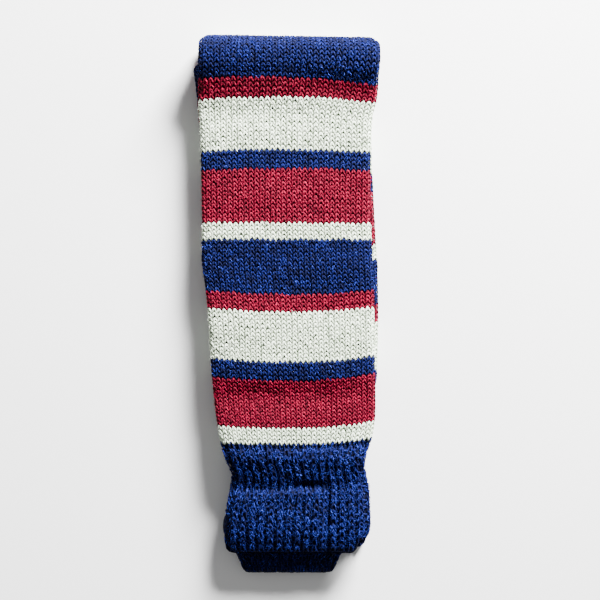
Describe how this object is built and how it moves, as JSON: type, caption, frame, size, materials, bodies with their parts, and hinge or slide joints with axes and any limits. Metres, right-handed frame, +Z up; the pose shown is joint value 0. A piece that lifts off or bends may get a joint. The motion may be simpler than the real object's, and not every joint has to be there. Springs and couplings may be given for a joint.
{
  "type": "pair of leg warmers",
  "caption": "Pair of striped knitted leg warmers with ribbed cuffs, laid together and folded in half flat on a surface",
  "frame": {"origin": "bottom centre of the folded bundle's box, on the surface that it lies on", "axes": "+Z up, +Y along the legs towards the fold, +X across the bundle"},
  "size_m": [0.1311, 0.3811, 0.026],
  "materials": {
    "striped_knit": "stockinette of soft acrylic yarn in navy, crimson and cream stripes, matt with a slight fuzz",
    "navy_rib": "navy one-by-one rib of soft acrylic yarn, matt with a slight fuzz"
  },
  "bodies": {
    "root": {"outer_leg": "striped_knit", "outer_ankle_cuff": "navy_rib", "outer_top_cuff": "navy_rib", "inner_leg": "striped_knit", "inner_ankle_cuff": "navy_rib", "inner_top_cuff": "navy_rib"}
  },
  "joints": []
}
